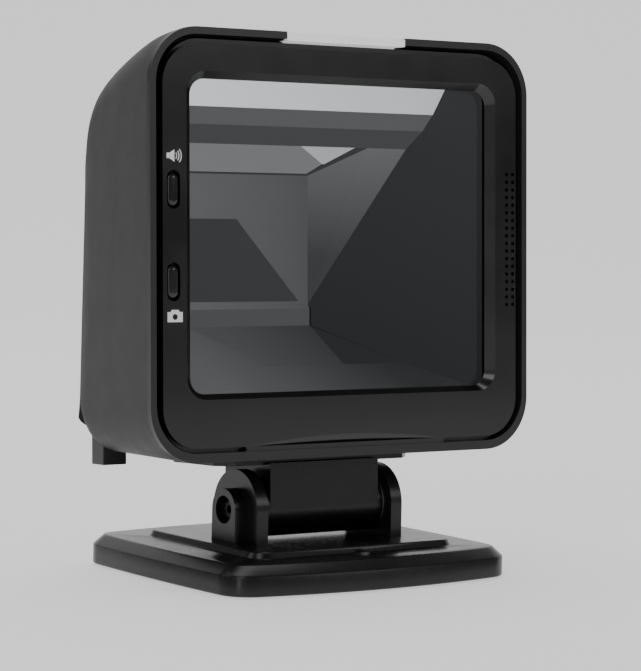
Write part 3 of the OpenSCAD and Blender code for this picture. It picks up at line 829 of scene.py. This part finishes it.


# the funnel linings: each facet's tone and glow is painted light and shade; opal, bright and lit are painted
# lit, the others painted darker in shade
FACETS = {
    "opal": facet("facet_opal", 0.6, 1.0, ("X", -0.04, 0.04, 0.8)),
    "bright": facet("facet_bright", 0.3, 0.58),
    "upper": facet("facet_upper", 0.1, 0.235),
    "beam": facet("facet_beam", 0.06, 0.125),
    "underside": facet("facet_underside", 0.04, 0.072),
    "back": facet("facet_back", 0.06, 0.14, ("X", -0.02, 0.018, 0.1)),
    "ledge": facet("facet_ledge", 0.05, 0.09),
    "lit": facet("facet_lit", 0.04, 0.055, ("Z", 0.08, 0.109, 0.17)),
    "side": facet("facet_side", 0.012, 0.022, ("Z", 0.05, 0.12, 0.038)),
    "groove": facet("facet_groove", 0.012, 0.045),
    # painted shade: a dark patch on the back wall over the camera unit
    "painted_shade_patch": facet("facet_painted_shade", 0.02, 0.05),
    "well": facet("facet_well", 0.03, 0.085, ("X", -0.012, 0.016, 0.045)),
    "floor": facet("facet_floor", 0.03, 0.125, ("X", -0.03, 0.026, 0.026)),
}
MATERIALS.update(FACETS)


def build_baffle():
    """The faceted funnel that keeps stray light off the imager: linings only, seen from inside, with painted
    light and shade on its facets.
    """
    front = GLASS_HIGH.y / MM
    back = BAFFLE_HIGH.y / MM - 1.2
    side = BAFFLE_HIGH.x / MM - 1.2
    left, right = -20, 18.5
    # lines across the funnel, each a depth and a height over the head's bottom
    roof_front, roof_back = (-1, 78.6), (back, 72)
    wall_foot, ledge_top, ledge_foot = (back, 37.6), (back - 0.8, 36.4), (back - 0.8, 31.9)
    floor_step, floor_front = (-0.4, 22.2), (front, 15.6)

    def on_roof(y):
        rise = (roof_front[1] - roof_back[1]) / (roof_front[0] - roof_back[0])
        return y, roof_front[1] + rise * (y - roof_front[0])

    groove, patch_end = on_roof(back - 1.6), on_roof(12.4)
    corners, faces, looks = [], [], []

    def wall_x(y, sign):
        end = right if sign > 0 else -left
        return sign * (side + (end - side) * (y - front) / (back - front))

    def add(look, *points):
        """One facet from points (x, line); x may be L or R for the funnel's side."""
        start = len(corners)
        for x, (y, v) in points:
            x = wall_x(y, 1) if x == "R" else wall_x(y, -1) if x == "L" else x
            corners.append((x, y, bottom + v))
        faces.append(tuple(range(start, start + len(points))))
        looks.append(look)

    # the header facets carry painted light and shade: the opal band glows with painted light, brighter to the
    # left, and the side, beam and underside facets are painted darker in shade
    header = [(front, 95.4), (-10, 94.1), (-7.2, 87.5), (-4.8, 83.2), roof_front]
    for look, upper, lower in zip(("side", "opal", "beam", "underside"), header, header[1:]):
        add(look, ("L", upper), ("R", upper), ("R", lower), ("L", lower))
    # ceiling, with a painted pool of light on the patch below the upper lamps and the groove round it painted
    # darker in shade
    add("upper", ("L", roof_front), (0.4, roof_front), (16.6, patch_end), (17, groove), ("L", groove))
    add("bright", (0.4, roof_front), (17.6, roof_front), (17.2, patch_end), (16.6, patch_end))
    add("groove", (17.6, roof_front), (21.6, roof_front), (right, roof_back), (17, groove),
        (17.2, patch_end))
    add("groove", ("L", groove), (17, groove), (right, roof_back), ("L", roof_back))
    # the corner facet right of the back wall is painted lit, the wall in front of it is painted in shade
    add("lit", (21.6, roof_front), (34.8, roof_front), (right, wall_foot), (right, roof_back))
    add("underside", (34.8, roof_front), ("R", roof_front), (right, wall_foot))
    # the back wall, ledge, well and floor carry painted light and shade: the well is painted as a dark patch,
    # the right floor triangle takes the right wall's painted shade, and back, well and floor are painted
    # lighter to the left
    add("back", ("L", roof_back), (right, roof_back), (right, wall_foot), ("L", wall_foot))
    add("back", ("L", wall_foot), (right, wall_foot), (right, ledge_top), ("L", ledge_top))
    add("ledge", ("L", ledge_top), (right, ledge_top), (right, ledge_foot), ("L", ledge_foot))
    add("well", ("L", ledge_foot), (right, ledge_foot), (14.4, floor_step), (-10.4, floor_step))
    add("floor", ("L", ledge_foot), (-10.4, floor_step), ("L", floor_step))
    add("side", (right, ledge_foot), ("R", floor_step), (14.4, floor_step))
    add("floor", ("L", floor_step), (-10.4, floor_step), (14.4, floor_step), ("R", floor_step),
        ("R", floor_front), ("L", floor_front))
    foot_rows = [wall_foot, ledge_top, ledge_foot, floor_step, floor_front]
    # painted light and shade on the side walls: the right wall painted dark in shade, the left wall painted
    # lit, both painted lighter towards the top
    add("side", *[("R", row) for row in header + foot_rows])
    add("lit", *[("L", row) for row in header + [roof_back] + foot_rows])
    # a dark patch of painted shade on the back wall, over the camera unit
    painted_shade_top, painted_shade_foot = (back - 0.4, 60.2), (back - 0.4, 38.4)
    add("painted_shade_patch", (-19.6, painted_shade_top), (-4.6, painted_shade_top), (15.2, painted_shade_foot), (-19.6, painted_shade_foot))
    thing = new_piece("baffle_funnel", corners, faces, "side", "head", ["light_baffle"])
    order = list(FACETS)
    thing.data.materials.clear()
    for name in order:
        thing.data.materials.append(MATERIALS[name])
    for polygon, look in zip(thing.data.polygons, looks):
        polygon.material_index = order.index(look)
    thing.data.shade_flat()
    return thing


build_baffle()

# ---- studio ----


def build_stage():
    """A pale floor that curves up into the backdrop."""
    reach, lift, bend = 3.0, 2.4, 0.9
    direction = Vector((VIEW_FORWARD.x, VIEW_FORWARD.y, 0)).normalized()
    across = Vector((-direction.y, direction.x, 0))
    profile = [(-reach, 0.0), (bend, 0.0)]
    steps = 24
    for i in range(1, steps + 1):
        a = math.pi / 2 * i / steps
        profile.append((bend + bend * math.sin(a), bend - bend * math.cos(a)))
    profile.append((2 * bend, lift))
    points = [direction * d + across * s * reach + Vector((0, 0, z)) for d, z in profile for s in (-1, 1)]
    faces = [(2 * i, 2 * i + 1, 2 * i + 3, 2 * i + 2) for i in range(len(profile) - 1)]
    mesh = bpy.data.meshes.new("floor")
    mesh.from_pydata(points, [], faces)
    mesh.shade_smooth()
    floor = bpy.data.objects.new("floor", mesh)
    bpy.context.scene.collection.objects.link(floor)
    m = Nodes("studio_floor")
    m.shader.inputs["Base Color"].default_value = (0.5, 0.5, 0.5, 1)
    m.shader.inputs["Roughness"].default_value = 0.9
    m.shader.inputs["Specular IOR Level"].default_value = 0.1
    m.shader.inputs["Emission Color"].default_value = (1, 1, 1, 1)
    m.shader.inputs["Emission Strength"].default_value = 0.72
    floor.data.materials.append(m.material)


def add_light(name, place, target, size, power):
    data = bpy.data.lights.new(name, "AREA")
    data.shape = "RECTANGLE"
    data.size, data.size_y = size
    data.energy = power
    light = bpy.data.objects.new(name, data)
    light.location = place
    light.rotation_euler = (Vector(target) - Vector(place)).to_track_quat("-Z", "Y").to_euler()
    bpy.context.scene.collection.objects.link(light)


def light_studio():
    world = bpy.data.worlds.new("studio")
    world.use_nodes = True
    world.node_tree.nodes["Background"].inputs["Color"].default_value = (0.9, 0.9, 0.9, 1)
    tree = world.node_tree
    rays = tree.nodes.new("ShaderNodeLightPath")
    seen = tree.nodes.new("ShaderNodeMath")
    seen.operation = "MULTIPLY_ADD"
    seen.inputs[1].default_value = 0.5
    seen.inputs[2].default_value = 0.12
    tree.links.new(rays.outputs["Is Camera Ray"], seen.inputs[0])
    tree.links.new(seen.outputs["Value"], tree.nodes["Background"].inputs["Strength"])
    bpy.context.scene.world = world
    middle = (0, 0, 0.07)
    add_light("top", (0.0, 0.3, 1.6), middle, (1.6, 1.2), 15)
    add_light("left_high", (-1.2, -0.9, 1.0), middle, (0.7, 0.7), 5)
    add_light("left_back", (-1.2, 0.5, 0.9), middle, (0.5, 0.5), 1.5)
    add_light("chamfer_strip", (-1.5, -1.02, 0.15), middle, (0.14, 0.6), 1.6)
    add_light("panel_sheen", (1.0, -1.7, 0.75), middle, (0.8, 0.6), 4)


build_stage()
light_studio()
